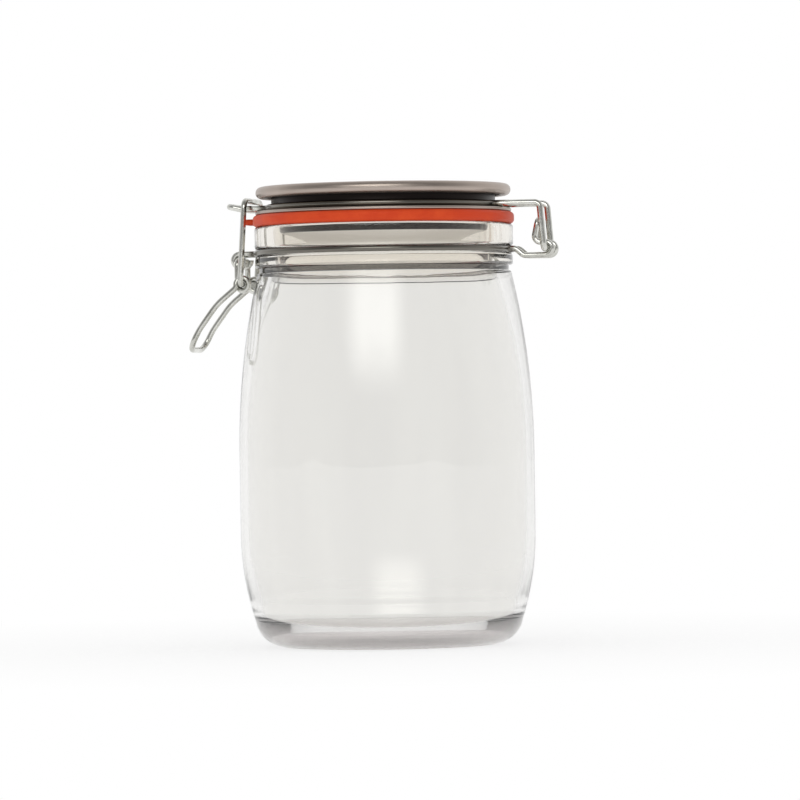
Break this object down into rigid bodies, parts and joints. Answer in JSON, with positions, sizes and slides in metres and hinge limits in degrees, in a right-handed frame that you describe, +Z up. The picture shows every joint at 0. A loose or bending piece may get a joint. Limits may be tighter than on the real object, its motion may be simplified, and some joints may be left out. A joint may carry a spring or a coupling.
{
  "type": "clip-top glass storage jar",
  "caption": "Clear glass storage jar with a hinged steel lid, an orange rubber seal and a bent-wire lever latch that clamps the lid shut.",
  "frame": {"origin": "centre of the flat base, on the jar's axis", "axes": "+Z up along the jar's axis, latch at -X, hinge at +X"},
  "size_m": [0.1405, 0.1106, 0.1721],
  "materials": {
    "glass": "clear pressed glass",
    "seal_rubber": "smooth",
    "lid_steel": "brushed",
    "wire": "bright drawn wire"
  },
  "bodies": {
    "jar": {"jar_body": "glass", "neck_wire": "wire"},
    "lid": {"lid_cap": "lid_steel", "lid_pan": "lid_steel", "lid_wire": "wire", "seal_ring": "seal_rubber"},
    "lever": {"lever": "wire"},
    "bail": {"bail": "wire"}
  },
  "joints": [
    {"name": "lid_hinge", "type": "hinge", "parent": "jar", "child": "lid", "pos_m": [0.0626, 0, 0.1472], "axis": [0, 1, 0], "range_deg": [0, 115]},
    {"name": "lever_pivot", "type": "hinge", "parent": "jar", "child": "lever", "pos_m": [-0.0549, 0, 0.1451], "axis": [0, 1, 0], "range_deg": [0, 115]},
    {"name": "bail_pivot", "type": "hinge", "parent": "lever", "child": "bail", "pos_m": [-0.0526, 0, 0.136], "axis": [0, 1, 0], "range_deg": [-115, 0]}
  ],
  "couplings": [
    {"joint": "bail_pivot", "follows": "lever_pivot", "ratio": -1}
  ]
}
